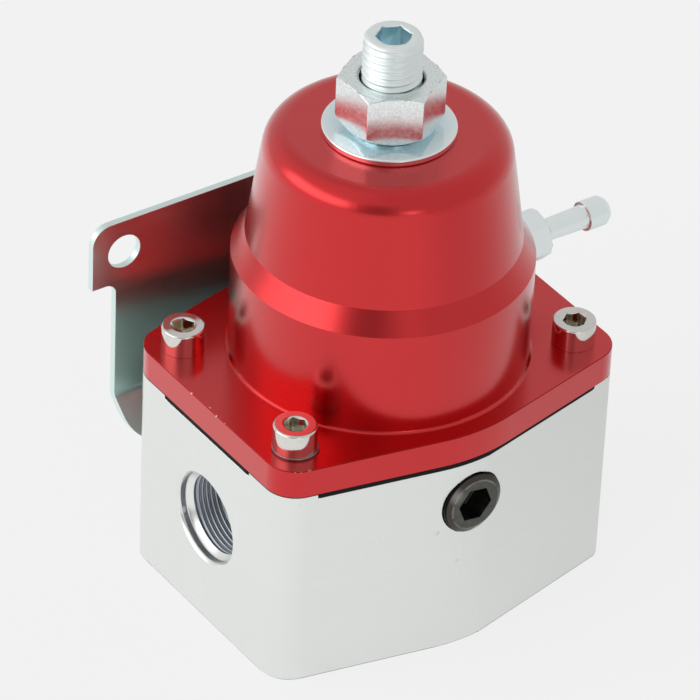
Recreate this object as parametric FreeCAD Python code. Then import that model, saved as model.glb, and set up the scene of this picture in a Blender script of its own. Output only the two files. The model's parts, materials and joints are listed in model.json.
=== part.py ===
import FreeCAD, Part
import math
import os

V = FreeCAD.Vector
X_AXIS = V(1, 0, 0)
Y_AXIS = V(0, 1, 0)
Z_AXIS = V(0, 0, 1)

# Return-style fuel pressure regulator. Millimetres, +Z up.
# The origin is the middle of the base. X runs from inlet to inlet, -Y is the gauge port's
# side and +Y the bracket's side.

# Outline shared by the lower body, the housing's flange and the diaphragm
half_length = 39.5
corner_half_depth = 25.4
apex_half_depth = 34.0
corner_radius = 6.5
apex_radius = 35.0
base_edge_break = 0.15
flange_edge_break = 0.12

# Lower body
body_height = 44.0
front_right_setback = 0.3
chamber_radius = 13.0
chamber_floor = 16.0
cavity_radius = 24.0
cavity_depth = 5.0
inlet_height = 23.35
cross_drill_radius = 6.0

# O-ring ports, M18 x 1: both inlets and the return
port_thread_radius = 8.2
port_mouth_radius = 9.85
port_mouth_chamfer = 0.6
port_seat_depth = 1.9
port_cone_depth = 1.1
drill_point_depth = 2.4
inlet_thread_depth = 14.5
return_thread_depth = 9.0

# Diaphragm and the circular relief that it lies in
diaphragm_thickness = 1.0
relief_radius = 42.0
diaphragm_gap = 0.25

# Upper housing: flange and stepped dome
flange_thickness = 6.0
dome_radius = 29.1
dome_base_fillet = 0.6
shoulder_height = 22.1
shoulder_rise = 4.5
cone_base_radius = 26.5
cone_top_radius = 23.15
dome_height = 49.4
dome_top_fillet = 4.9
dome_wall = 3.8
dome_roof = 9.4
spring_room_fillet = 2.5

# Cap screws, M5, and the holes that they pass through or screw into
screw_inset_x = 7.0
screw_inset_y = 6.4
screw_radius = 2.5
screw_length = 20.0
screw_tip_chamfer = 0.5
screw_head_radius = 4.25
screw_head_height = 5.0
screw_head_round = 0.45
screw_socket_flats = 4.0
screw_socket_depth = 2.5
screw_socket_mouth = 0.2
screw_socket_turns = {"left_front": 8, "left_back": 58, "right_front": 36, "right_back": 20}
screw_hole_spare = 2.0
thread_clearance = 0.06
screw_clearance = 0.25
front_washer_radius = 4.55
front_washer_thickness = 0.5
front_washer_shift = 0.2

# Pressure adjuster: M12 x 1.5 screw with a rounded crown, jam nut and flat washer
adjuster_radius = 6.0
adjuster_length = 36.0
adjuster_standing = 8.65
adjuster_crown_width = 1.3
adjuster_crown_height = 1.6
adjuster_crown_round = 1.4
adjuster_tip_radius = 2.7
adjuster_socket_flats = 6.0
adjuster_socket_depth = 6.5
adjuster_socket_turn = 33.0
adjuster_socket_mouth = 0.25
running_clearance = 0.12
nut_flats = 18.0
nut_height = 10.85
nut_turn = 30.0
nut_face_radius = 9.1
nut_face_angle = 30.0
nut_seat_radius = 7.9
nut_seat_angle = 40.0
nut_bore_chamfer = 0.6
washer_radius = 12.85
washer_bore = 6.5
washer_thickness = 1.45
washer_rim_chamfer = 0.25

# Spring and its seats
spring_wire = 3.0
spring_radius = 10.0
spring_turns = 6.0
spring_seat_radius = 13.0
spring_seat_thickness = 2.5
spring_pilot_height = 3.0
spring_pilot_gap = 0.4
spring_pilot_chamfer = 1.0
seat_cup_depth = 1.5
seat_cup_wall = 1.7
seat_cup_gap = 0.3

# Moving stack clamped to the diaphragm's middle
plate_radius = 19.0
plate_thickness = 2.0
plate_edge_round = 0.8
stem_radius = 3.0
stem_neck_radius = 4.0
stem_nut_flats = 10.0
stem_nut_height = 4.0
stem_end_length = 1.5
stem_end_chamfer = 0.5
poppet_radius = 5.5
poppet_height = 4.5
seal_radius = 4.0
seal_thickness = 1.5
seal_recess = 1.2

# Return seat screwed into the chamber's floor
seat_top_height = 30.0
seat_radius = 5.5
seat_bore = 2.75
seat_lip_radius = 3.5
seat_lip_height = 0.8
seat_flange_flats = 14.0
seat_flange_height = 3.0
seat_thread_radius = 5.0
seat_thread_chamfer = 0.5

# Gauge port and its pipe plug, 1/4 in taper, with a hex socket
gauge_height = 33.26
gauge_offset = -0.47
gauge_mouth_chamfer = 0.3
gauge_passage_radius = 2.5
plug_radius = 6.5
plug_length = 9.0
plug_standing = 0.9
plug_taper = 1.0 / 32.0
plug_face_chamfer = 1.2
plug_socket_flats = 6.6
plug_socket_depth = 5.0
plug_socket_turn = 9.0

# Hose nipple in the dome
nipple_height = 62.1
nipple_flats = 9.5
nipple_hex_length = 8.7
nipple_hex_turn = 42.0
nipple_hex_chamfer = 0.65
nipple_thread_radius = 3.0
nipple_stem_radius = 2.15
nipple_neck_radius = 2.4
nipple_stem_length = 10.7
nipple_barb_radius = 3.05
nipple_barb_length = 4.2
nipple_nose_length = 1.2
nipple_nose_radius = 2.2
nipple_bore = 1.25
nipple_spot_clearance = 0.7
nipple_spot_depth = 0.1

# Bracket, folded from 1.5 mm sheet, and its two M5 screws
sheet = 1.5
bracket_pad = 28.0
bracket_pad_top = 29.0
bracket_front = 36.0
bracket_bend_height = 29.3
bracket_slope = 0.855
bracket_bend_radius = 2.0
bracket_top = 70.0
bracket_ear_overhang = 2.8
bracket_web_inset = 2.55
bracket_ear_height = 14.0
bracket_ear_round = 4.0
bracket_notch_round = 2.3
bracket_hole_inset = 7.2
bracket_hole_drop = 7.1
bracket_hole_radius = 3.6
bracket_foot_half_width = 24.0
bracket_foot_height = 3.0
bracket_foot_round = 4.0
bracket_screw_x = 15.0
bracket_screw_height = 11.0
bracket_screw_length = 10.0
bracket_socket_turn = 30.0
lock_washer_thickness = 1.2
lock_washer_radius = 4.6
lock_washer_split = 1.2

# Places and heights that follow from the sizes above
screw_x = half_length - screw_inset_x
screw_y = corner_half_depth - screw_inset_y
bracket_half_width = half_length + bracket_ear_overhang
bracket_web_half_width = half_length - bracket_web_inset
bracket_hole_x = bracket_half_width - bracket_hole_inset
bracket_hole_height = bracket_top - bracket_hole_drop
relief_floor = body_height - diaphragm_thickness
flange_top = body_height + flange_thickness
shoulder = flange_top + shoulder_height
dome_top = flange_top + dome_height
dome_ceiling = dome_top - dome_roof
washer_top = dome_top + washer_thickness
nut_top = washer_top + nut_height
adjuster_top = nut_top + adjuster_standing
adjuster_end = adjuster_top - adjuster_length
spring_top = adjuster_end - spring_seat_thickness
plate_top = body_height + plate_thickness
plate_bottom = relief_floor - plate_thickness
pilot_top = plate_top + spring_pilot_height
port_thread_start = port_seat_depth + port_cone_depth
return_floor = port_thread_start + return_thread_depth


def cylinder(radius, height, base=V(0, 0, 0), axis=Z_AXIS):
    return Part.makeCylinder(radius, height, base, axis)


def turned(profile, base=V(0, 0, 0), axis=Z_AXIS):
    """A solid turned from (radius, height) points, its foot at base and its height along axis."""
    points = [V(radius, 0, height) for radius, height in profile]
    face = Part.Face(Part.makePolygon(points + [points[0]]))
    solid = face.revolve(V(0, 0, 0), Z_AXIS, 360)
    solid.Placement = FreeCAD.Placement(base, FreeCAD.Rotation(Z_AXIS, axis))
    return solid


def hexagon(flats, height, turn, base, axis=Z_AXIS):
    """A hexagonal prism with one corner at the angle turn."""
    radius = flats / math.sqrt(3)
    angles = [math.radians(turn + 60 * side) for side in range(7)]
    corners = [V(radius * math.cos(a), radius * math.sin(a), 0) for a in angles]
    prism = Part.Face(Part.makePolygon(corners)).extrude(V(0, 0, height))
    prism.Placement = FreeCAD.Placement(base, FreeCAD.Rotation(Z_AXIS, axis))
    return prism


def rounded_face(corners):
    """A flat face through (point, radius) corners, each one rounded by its own radius."""
    arcs = []
    for index, (point, radius) in enumerate(corners):
        before = (corners[index - 1][0] - point).normalize()
        after = (corners[(index + 1) % len(corners)][0] - point).normalize()
        inward = (before + after).normalize()
        half_angle = before.getAngle(after) / 2
        reach = radius / math.tan(half_angle)
        middle = point + inward * (radius / math.sin(half_angle) - radius)
        arcs.append((point + before * reach, middle, point + after * reach))
    edges = []
    for index, (start, middle, end) in enumerate(arcs):
        if corners[index][1] > 0:
            edges.append(Part.Arc(start, middle, end).toShape())
        edges.append(Part.makeLine(end, arcs[(index + 1) % len(arcs)][0]))
    return Part.Face(Part.Wire(edges))


def outline_prism(bottom, top):
    """The six-sided outline with rounded corners and a wide round at each apex."""
    corners = [
        (V(-half_length, -corner_half_depth, bottom), corner_radius),
        (V(0, -apex_half_depth, bottom), apex_radius),
        (V(half_length, -corner_half_depth, bottom), corner_radius),
        (V(half_length, corner_half_depth, bottom), corner_radius),
        (V(0, apex_half_depth, bottom), apex_radius),
        (V(-half_length, corner_half_depth, bottom), corner_radius),
    ]
    return rounded_face(corners).extrude(V(0, 0, top - bottom))


def broken_rim(solid, height, edge_break):
    """The solid with the outer edges at one height lightly chamfered."""
    rim = [
        edge
        for edge in solid.Edges
        if edge.BoundBox.ZLength < 0.001 and abs(edge.BoundBox.Center.z - height) < 0.001
    ]
    return solid.makeChamfer(edge_break, rim)


def front_right_mill(bottom, top):
    """The space of a milling pass that leaves the front right face a little deeper."""
    apex = V(0, -apex_half_depth, bottom)
    corner = V(half_length, -corner_half_depth, bottom)
    along = (corner - apex).normalize()
    inward = V(-along.y, along.x, 0)
    cutter_reach = apex_radius
    start = apex - along * cutter_reach + inward * front_right_setback
    end = corner + along * cutter_reach + inward * front_right_setback
    outer = [end - inward * cutter_reach, start - inward * cutter_reach]
    face = Part.Face(Part.makePolygon([start, end] + outer + [start]))
    return face.extrude(V(0, 0, top - bottom))


def oring_port(mouth, inward, thread_depth):
    """The space of one O-ring port: mouth chamfer, seat, cone, thread bore and drill point."""
    seat_bore_radius = port_mouth_radius - port_mouth_chamfer
    end = port_thread_start + thread_depth
    profile = [
        (0, -1),
        (port_mouth_radius + 1, -1),
        (port_mouth_radius, 0),
        (seat_bore_radius, port_mouth_chamfer),
        (seat_bore_radius, port_seat_depth),
        (port_thread_radius, port_thread_start),
        (port_thread_radius, end),
        (0, end + drill_point_depth),
    ]
    return turned(profile, mouth, inward)


def screw_places():
    """Name and place of each cap screw."""
    places = []
    for side, sign_x in (("left", -1), ("right", 1)):
        for depth, sign_y in (("front", -1), ("back", 1)):
            places.append((side + "_" + depth, sign_x * screw_x, sign_y * screw_y))
    return places


def make_lower_body():
    """Machined from bar: ports, chamber, diaphragm cavity, relief and a milled bracket pad."""
    outside = outline_prism(0, body_height).cut(front_right_mill(0, body_height))
    body = broken_rim(outside, 0, base_edge_break)
    body = body.cut(cylinder(relief_radius, diaphragm_thickness + 1, V(0, 0, relief_floor)))
    cavity_floor = relief_floor - cavity_depth
    body = body.cut(cylinder(cavity_radius, cavity_depth + 1, V(0, 0, cavity_floor)))
    body = body.cut(cylinder(chamber_radius, relief_floor - chamber_floor, V(0, 0, chamber_floor)))
    for sign in (-1, 1):
        mouth = V(sign * half_length, 0, inlet_height)
        body = body.cut(oring_port(mouth, V(-sign, 0, 0), inlet_thread_depth))
    drill_half_length = half_length - port_thread_start
    drill_start = V(-drill_half_length, 0, inlet_height)
    body = body.cut(cylinder(cross_drill_radius, 2 * drill_half_length, drill_start, X_AXIS))
    body = body.cut(oring_port(V(0, 0, 0), Z_AXIS, return_thread_depth))
    body = body.cut(cylinder(seat_thread_radius + thread_clearance, chamber_floor))
    body = body.cut(gauge_hole())
    for name, x, y in screw_places():
        depth = screw_length - flange_thickness - diaphragm_thickness + screw_hole_spare
        foot = V(x, y, relief_floor - depth)
        body = body.cut(cylinder(screw_radius + thread_clearance, depth + 2, foot))
    pad_box = Part.makeBox(
        2 * half_length + 2,
        apex_half_depth,
        bracket_pad_top + 1,
        V(-half_length - 1, bracket_pad, -1),
    )
    body = body.cut(pad_box)
    grip = bracket_screw_length - sheet - lock_washer_thickness
    for sign in (-1, 1):
        mouth = V(sign * bracket_screw_x, bracket_pad + 1, bracket_screw_height)
        depth = grip + screw_hole_spare + 1
        body = body.cut(cylinder(screw_radius + thread_clearance, depth, mouth, V(0, -1, 0)))
    return body


def front_face():
    """The depth of the rounded front apex, where the gauge port opens."""
    slope = math.atan2(apex_half_depth - corner_half_depth, half_length)
    return apex_half_depth - apex_radius * (1 / math.cos(slope) - 1)


def gauge_hole():
    """Tapered port for the gauge plug, and the passage from it to the chamber."""
    depth = plug_length - plug_standing
    wide = plug_radius + thread_clearance
    mouth = V(gauge_offset, -front_face(), gauge_height)
    profile = [
        (0, -2),
        (wide + gauge_mouth_chamfer, -2),
        (wide + gauge_mouth_chamfer, 0),
        (wide, gauge_mouth_chamfer),
        (wide - depth * plug_taper, depth),
        (0, depth),
    ]
    passage = cylinder(gauge_passage_radius, front_face(), mouth, Y_AXIS)
    return turned(profile, mouth, Y_AXIS).fuse(passage)


def make_upper_housing():
    """One turned and milled piece: six-sided flange and stepped dome, hollow inside."""
    flange = broken_rim(outline_prism(body_height, flange_top), flange_top, flange_edge_break)
    outside = turned(
        [
            (0, body_height),
            (dome_radius, body_height),
            (dome_radius, shoulder),
            (cone_base_radius, shoulder + shoulder_rise),
            (cone_top_radius, dome_top),
            (0, dome_top),
        ]
    )
    outside = outside.makeFillet(dome_top_fillet, [circle_at(outside, cone_top_radius, dome_top)])
    housing = flange.fuse(outside)
    housing = housing.makeFillet(dome_base_fillet, [circle_at(housing, dome_radius, flange_top)])
    room_top_radius = cone_top_radius - dome_wall
    room = turned(
        [
            (0, body_height - 1),
            (dome_radius - dome_wall, body_height - 1),
            (dome_radius - dome_wall, shoulder - dome_wall),
            (cone_base_radius - dome_wall, shoulder + shoulder_rise - dome_wall),
            (room_top_radius, dome_ceiling),
            (0, dome_ceiling),
        ]
    )
    room = room.makeFillet(spring_room_fillet, [circle_at(room, room_top_radius, dome_ceiling)])
    housing = housing.cut(room)
    bore_foot = V(0, 0, dome_ceiling - 1)
    housing = housing.cut(cylinder(adjuster_radius + running_clearance, dome_roof + 2, bore_foot))
    for name, x, y in screw_places():
        hole_foot = V(x, y, body_height - 1)
        housing = housing.cut(cylinder(screw_radius + screw_clearance, flange_thickness + 2, hole_foot))
    seat = V(nipple_seat(), 0, nipple_height)
    spot_radius = nipple_flats / math.sqrt(3) + nipple_spot_clearance
    housing = housing.cut(cylinder(spot_radius, dome_wall, seat, X_AXIS))
    tapped = cylinder(nipple_thread_radius + thread_clearance, 2 * dome_wall, seat, V(-1, 0, 0))
    return housing.cut(tapped)


def circle_at(solid, radius, height):
    """The level circular edge of a solid with this radius at this height."""
    for edge in solid.Edges:
        box = edge.BoundBox
        level = box.ZLength < 0.001 and abs(box.ZMin - height) < 0.001
        if level and abs(box.XLength - 2 * radius) < 0.01 and abs(box.YLength - 2 * radius) < 0.01:
            return edge
    raise ValueError("no circle of radius %s at height %s" % (radius, height))


def nipple_seat():
    """Where the spot face for the nipple's hexagon lies, just inside the dome's surface."""
    reach = nipple_flats / math.sqrt(3)
    return math.sqrt(dome_radius ** 2 - reach ** 2) - nipple_spot_depth


def make_diaphragm():
    """Reinforced rubber sheet cut to the outline, its corners cut by the relief."""
    disc_radius = relief_radius - diaphragm_gap
    disc = cylinder(disc_radius, diaphragm_thickness, V(0, 0, relief_floor))
    rubber = outline_prism(relief_floor, body_height).common(disc)
    rubber = rubber.cut(front_right_mill(relief_floor, body_height))
    for name, x, y in screw_places():
        hole_foot = V(x, y, relief_floor - 1)
        hole = cylinder(screw_radius + screw_clearance, diaphragm_thickness + 2, hole_foot)
        rubber = rubber.cut(hole)
    centre_foot = V(0, 0, relief_floor - 1)
    return rubber.cut(cylinder(stem_radius + thread_clearance, diaphragm_thickness + 2, centre_foot))


def socket_mouth(radius, height):
    """The shallow countersink that breaks a hex socket's corners."""
    return turned([(0, height - radius / 2), (radius, height), (radius, height + 1), (0, height + 1)])


def cap_screw(length, turn):
    """Socket-head screw with the underside of its head at the origin."""
    head = cylinder(screw_head_radius, screw_head_height)
    head = head.makeFillet(screw_head_round, [circle_at(head, screw_head_radius, screw_head_height)])
    shank = turned(
        [
            (0, -length),
            (screw_radius - screw_tip_chamfer, -length),
            (screw_radius, screw_tip_chamfer - length),
            (screw_radius, screw_tip_chamfer),
            (0, screw_tip_chamfer),
        ]
    )
    socket_floor = V(0, 0, screw_head_height - screw_socket_depth)
    socket = hexagon(screw_socket_flats, screw_socket_depth + 1, turn, socket_floor)
    mouth_radius = screw_socket_flats / math.sqrt(3) + screw_socket_mouth
    mouth = socket_mouth(mouth_radius, screw_head_height)
    return head.fuse(shank).cut(socket.fuse(mouth)).removeSplitter()


def make_cap_screw(name, x, y):
    lift = front_washer_thickness if name == "left_front" else 0
    screw = cap_screw(screw_length, screw_socket_turns[name])
    screw.translate(V(x, y, flange_top + lift))
    return screw


def make_front_washer():
    """Thin washer under the left front screw, pushed off its centre."""
    base = V(front_washer_shift - screw_x, -screw_y, flange_top)
    ring = cylinder(front_washer_radius, front_washer_thickness, base)
    bore = screw_radius + front_washer_shift + thread_clearance
    return ring.cut(cylinder(bore, front_washer_thickness, base))


def make_adjusting_screw():
    """Threaded set screw with a hex socket, a rounded crown and a coned tip."""
    crown_foot = adjuster_top - adjuster_crown_height
    screw = turned(
        [
            (0, adjuster_end),
            (adjuster_tip_radius, adjuster_end),
            (adjuster_radius, adjuster_end + adjuster_radius - adjuster_tip_radius),
            (adjuster_radius, crown_foot),
            (adjuster_radius - adjuster_crown_width, adjuster_top),
            (0, adjuster_top),
        ]
    )
    screw = screw.makeFillet(adjuster_crown_round, [circle_at(screw, adjuster_radius, crown_foot)])
    floor = adjuster_top - adjuster_socket_depth
    socket = hexagon(
        adjuster_socket_flats, adjuster_socket_depth + 1, adjuster_socket_turn, V(0, 0, floor)
    )
    mouth_radius = adjuster_socket_flats / math.sqrt(3) + adjuster_socket_mouth
    return screw.cut(socket).cut(socket_mouth(mouth_radius, adjuster_top))


def make_jam_nut():
    """Tall hexagon nut, its corners turned down a little above and more below."""
    blank = hexagon(nut_flats, nut_height, nut_turn, V(0, 0, washer_top))
    corner = nut_flats / math.sqrt(3)
    face_drop = (corner - nut_face_radius) * math.tan(math.radians(nut_face_angle))
    seat_drop = (corner - nut_seat_radius) * math.tan(math.radians(nut_seat_angle))
    form = turned(
        [
            (0, washer_top),
            (nut_seat_radius, washer_top),
            (corner, washer_top + seat_drop),
            (corner, nut_top - face_drop),
            (nut_face_radius, nut_top),
            (0, nut_top),
        ]
    )
    bore_radius = adjuster_radius + running_clearance
    mouth = bore_radius + nut_bore_chamfer
    bore = turned(
        [
            (0, washer_top - 1),
            (mouth, washer_top - 1),
            (mouth, washer_top),
            (bore_radius, washer_top + nut_bore_chamfer),
            (bore_radius, nut_top - nut_bore_chamfer),
            (mouth, nut_top),
            (mouth, nut_top + 1),
            (0, nut_top + 1),
        ]
    )
    return blank.common(form).cut(bore)


def make_flat_washer():
    """Broad washer under the jam nut."""
    return turned(
        [
            (washer_bore, dome_top),
            (washer_radius - washer_rim_chamfer, dome_top),
            (washer_radius, dome_top + washer_rim_chamfer),
            (washer_radius, washer_top - washer_rim_chamfer),
            (washer_radius - washer_rim_chamfer, washer_top),
            (washer_bore, washer_top),
        ]
    )


def spring_pilot_radius():
    """The boss on each seat that centres the spring's end coil."""
    return spring_radius - spring_wire / 2 - spring_pilot_gap


def make_upper_spring_seat():
    """Steel button that the screw's tip presses, with a cup above and a pilot below."""
    pilot = spring_pilot_radius()
    pilot_end = spring_top - spring_pilot_height
    cup_floor_radius = adjuster_tip_radius + seat_cup_gap
    cup_mouth_radius = cup_floor_radius + seat_cup_depth
    return turned(
        [
            (0, pilot_end),
            (pilot - spring_pilot_chamfer, pilot_end),
            (pilot, pilot_end + spring_pilot_chamfer),
            (pilot, spring_top),
            (spring_seat_radius, spring_top),
            (spring_seat_radius, adjuster_end),
            (cup_mouth_radius + seat_cup_wall, adjuster_end + seat_cup_depth),
            (cup_mouth_radius, adjuster_end + seat_cup_depth),
            (cup_floor_radius, adjuster_end),
            (0, adjuster_end),
        ]
    )


def make_main_spring():
    """Compression spring between its two seats, with a closed turn at each end."""
    wire_radius = spring_wire / 2
    bottom = plate_top + wire_radius
    top = spring_top - wire_radius
    helix = Part.makeHelix((top - bottom) / spring_turns, top - bottom, spring_radius)
    helix.translate(V(0, 0, bottom))
    section = Part.makeCircle(wire_radius, V(spring_radius, 0, bottom), Y_AXIS)
    coil = Part.Wire(helix.Edges).makePipeShell([Part.Wire(section)], True, True)
    lower_turn = Part.makeTorus(spring_radius, wire_radius, V(0, 0, bottom))
    upper_turn = Part.makeTorus(spring_radius, wire_radius, V(0, 0, top))
    return lower_turn.fuse(coil).fuse(upper_turn).removeSplitter()


def make_spring_plate():
    """Plate above the diaphragm, with a pilot that centres the spring."""
    pilot = spring_pilot_radius()
    bore = stem_radius + thread_clearance
    return turned(
        [
            (bore, body_height),
            (plate_radius - plate_edge_round, body_height),
            (plate_radius, body_height + plate_edge_round),
            (plate_radius, plate_top),
            (pilot, plate_top),
            (pilot, pilot_top - spring_pilot_chamfer),
            (pilot - spring_pilot_chamfer, pilot_top),
            (bore, pilot_top),
        ]
    )


def make_valve_stem():
    """Lower diaphragm plate, stem and poppet, turned from one bar."""
    stem_top = pilot_top + stem_nut_height + stem_end_length
    poppet_bottom = seat_top_height + seal_thickness - seal_recess
    poppet_top = poppet_bottom + poppet_height
    recess_top = seat_top_height + seal_thickness
    neck_run = plate_edge_round
    return turned(
        [
            (0, recess_top),
            (seal_radius, recess_top),
            (seal_radius, poppet_bottom),
            (poppet_radius, poppet_bottom),
            (poppet_radius, poppet_top),
            (stem_neck_radius, poppet_top + neck_run),
            (stem_neck_radius, plate_bottom - neck_run),
            (stem_neck_radius + neck_run, plate_bottom),
            (plate_radius, plate_bottom),
            (plate_radius, relief_floor - plate_edge_round),
            (plate_radius - plate_edge_round, relief_floor),
            (stem_radius, relief_floor),
            (stem_radius, stem_top - stem_end_chamfer),
            (stem_radius - stem_end_chamfer, stem_top),
            (0, stem_top),
        ]
    )


def make_stem_nut():
    """Nut that clamps both plates to the diaphragm."""
    foot = V(0, 0, pilot_top)
    nut = hexagon(stem_nut_flats, stem_nut_height, 0, foot)
    return nut.cut(cylinder(stem_radius + thread_clearance, stem_nut_height, foot))


def make_valve_seal():
    """Rubber disc pressed into the poppet, which closes on the seat's lip."""
    return cylinder(seal_radius, seal_thickness, V(0, 0, seat_top_height))


def make_return_seat():
    """Brass seat screwed into the chamber's floor, its raised lip under the seal."""
    lip_foot = seat_top_height - seat_lip_height
    column = turned(
        [
            (seat_bore, return_floor),
            (seat_thread_radius - seat_thread_chamfer, return_floor),
            (seat_thread_radius, return_floor + seat_thread_chamfer),
            (seat_thread_radius, chamber_floor),
            (seat_radius, chamber_floor),
            (seat_radius, lip_foot - seat_radius + seat_lip_radius),
            (seat_lip_radius, lip_foot),
            (seat_lip_radius, seat_top_height),
            (seat_bore, seat_top_height),
        ]
    )
    grip_foot = V(0, 0, chamber_floor)
    grip = hexagon(seat_flange_flats, seat_flange_height, 0, grip_foot)
    grip = grip.cut(cylinder(seat_bore, seat_flange_height, grip_foot))
    return column.fuse(grip).removeSplitter()


def make_gauge_plug():
    """Tapered plug with a hex socket, its chamfered face standing a little proud."""
    face = V(gauge_offset, -front_face() - plug_standing, gauge_height)
    small = plug_radius - (plug_length - plug_standing) * plug_taper
    plug = turned(
        [
            (0, 0),
            (plug_radius - plug_face_chamfer, 0),
            (plug_radius, plug_standing),
            (small, plug_length - plug_taper),
            (0, plug_length - plug_taper),
        ],
        face,
        Y_AXIS,
    )
    mouth = face - Y_AXIS
    socket = hexagon(plug_socket_flats, plug_socket_depth + 1, plug_socket_turn, mouth, Y_AXIS)
    return plug.cut(socket)


def make_vacuum_nipple():
    """Turned hose nipple with a hexagon base, a tapered stem and a bulged end."""
    seat = V(nipple_seat(), 0, nipple_height)
    corner = nipple_flats / math.sqrt(3)
    blank = hexagon(nipple_flats, nipple_hex_length, nipple_hex_turn, seat, X_AXIS)
    form = turned(
        [
            (0, 0),
            (corner, 0),
            (corner, nipple_hex_length - nipple_hex_chamfer),
            (corner - nipple_hex_chamfer, nipple_hex_length),
            (0, nipple_hex_length),
        ],
        seat,
        X_AXIS,
    )
    barb_start = nipple_hex_length + nipple_stem_length
    barb_end = barb_start + nipple_barb_length
    nose = barb_end + nipple_nose_length
    stem = turned(
        [
            (0, nipple_hex_length - nipple_hex_chamfer),
            (nipple_stem_radius, nipple_hex_length - nipple_hex_chamfer),
            (nipple_stem_radius, nipple_hex_length),
            (nipple_neck_radius, barb_start),
            (nipple_barb_radius, barb_start),
            (nipple_barb_radius, barb_end),
            (nipple_nose_radius, nose),
            (0, nose),
        ],
        seat,
        X_AXIS,
    )
    thread = cylinder(nipple_thread_radius, dome_wall, seat, V(-1, 0, 0))
    bore_start = seat - X_AXIS * (dome_wall + 1)
    bore = cylinder(nipple_bore, dome_wall + nose + 2, bore_start, X_AXIS)
    return blank.common(form).fuse([stem, thread]).removeSplitter().cut(bore)


def bracket_fold():
    """The folded sheet seen from the side, drawn out across the bracket's full width."""
    run = bracket_front - bracket_pad
    foot_bend = bracket_bend_height - run * bracket_slope
    lean = math.atan2(run, bracket_bend_height - foot_bend)
    drop = sheet * math.tan(lean / 2)
    outer = bracket_bend_radius + sheet
    inner = bracket_bend_radius
    back_pad = bracket_pad + sheet
    back_web = bracket_front + sheet
    points = [
        (bracket_pad, bracket_foot_height, 0),
        (bracket_pad, foot_bend, outer),
        (bracket_front, bracket_bend_height, inner),
        (bracket_front, bracket_top, 0),
        (back_web, bracket_top, 0),
        (back_web, bracket_bend_height - drop, outer),
        (back_pad, foot_bend - drop, inner),
        (back_pad, bracket_foot_height, 0),
    ]
    corners = [(V(-bracket_half_width, y, z), radius) for y, z, radius in points]
    return rounded_face(corners).extrude(V(2 * bracket_half_width, 0, 0))


def bracket_blank():
    """The sheet's outline seen from the front: ears, notches, web and a narrower foot."""
    ear_bottom = bracket_top - bracket_ear_height
    web_bottom = bracket_bend_height - (bracket_front - bracket_pad) * bracket_slope
    right_side = [
        (bracket_half_width, bracket_top, bracket_ear_round),
        (bracket_half_width, ear_bottom, 0),
        (bracket_web_half_width, ear_bottom, bracket_notch_round),
        (bracket_web_half_width, web_bottom, bracket_foot_round),
        (bracket_foot_half_width, web_bottom, bracket_foot_round),
        (bracket_foot_half_width, bracket_foot_height, bracket_foot_round),
    ]
    left_side = [(-x, z, radius) for x, z, radius in reversed(right_side)]
    corners = [(V(x, 0, z), radius) for x, z, radius in right_side + left_side]
    return rounded_face(corners).extrude(V(0, bracket_front + 2 * sheet, 0))


def make_bracket():
    """Folded sheet: foot on the milled pad, slanted run, upright web and two holed ears."""
    bracket = bracket_fold().common(bracket_blank())
    for sign in (-1, 1):
        ear_hole = V(sign * bracket_hole_x, bracket_front - sheet, bracket_hole_height)
        bracket = bracket.cut(cylinder(bracket_hole_radius, 3 * sheet, ear_hole, Y_AXIS))
        foot_hole = V(sign * bracket_screw_x, bracket_pad - sheet, bracket_screw_height)
        bracket = bracket.cut(cylinder(screw_radius + screw_clearance, 3 * sheet, foot_hole, Y_AXIS))
    return bracket


def make_bracket_screw(sign):
    """Cap screw that holds the bracket's foot to the milled pad."""
    screw = cap_screw(bracket_screw_length, bracket_socket_turn)
    seat = bracket_pad + sheet + lock_washer_thickness
    place = V(sign * bracket_screw_x, seat, bracket_screw_height)
    screw.Placement = FreeCAD.Placement(place, FreeCAD.Rotation(Z_AXIS, Y_AXIS))
    return screw


def make_lock_washer(sign):
    """Split spring washer under a bracket screw, pressed flat."""
    base = V(sign * bracket_screw_x, bracket_pad + sheet, bracket_screw_height)
    ring = cylinder(lock_washer_radius, lock_washer_thickness, base, Y_AXIS)
    ring = ring.cut(cylinder(screw_radius + thread_clearance, lock_washer_thickness, base, Y_AXIS))
    split = Part.makeBox(
        lock_washer_split,
        lock_washer_thickness,
        lock_washer_radius + 1,
        base - V(lock_washer_split / 2, 0, 0),
    )
    return ring.cut(split)


parts = {
    "lower_body": make_lower_body(),
    "upper_housing": make_upper_housing(),
    "diaphragm": make_diaphragm(),
    "spring_plate": make_spring_plate(),
    "valve_stem": make_valve_stem(),
    "stem_nut": make_stem_nut(),
    "valve_seal": make_valve_seal(),
    "return_seat": make_return_seat(),
    "main_spring": make_main_spring(),
    "upper_spring_seat": make_upper_spring_seat(),
    "adjusting_screw": make_adjusting_screw(),
    "jam_nut": make_jam_nut(),
    "flat_washer": make_flat_washer(),
    "front_screw_washer": make_front_washer(),
    "gauge_port_plug": make_gauge_plug(),
    "vacuum_nipple": make_vacuum_nipple(),
    "bracket": make_bracket(),
}
for name, x, y in screw_places():
    parts["cap_screw_" + name] = make_cap_screw(name, x, y)
for side, sign in (("left", -1), ("right", 1)):
    parts["bracket_screw_" + side] = make_bracket_screw(sign)
    parts["bracket_lock_washer_" + side] = make_lock_washer(sign)

os.makedirs("parts", exist_ok=True)
for name, shape in parts.items():
    shape.exportStep("parts/" + name + ".step")
    print(name, len(shape.Solids), shape.isValid(), round(shape.Volume, 1))
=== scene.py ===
import json
import math

import bmesh
import bpy
from mathutils import Matrix, Vector


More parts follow.
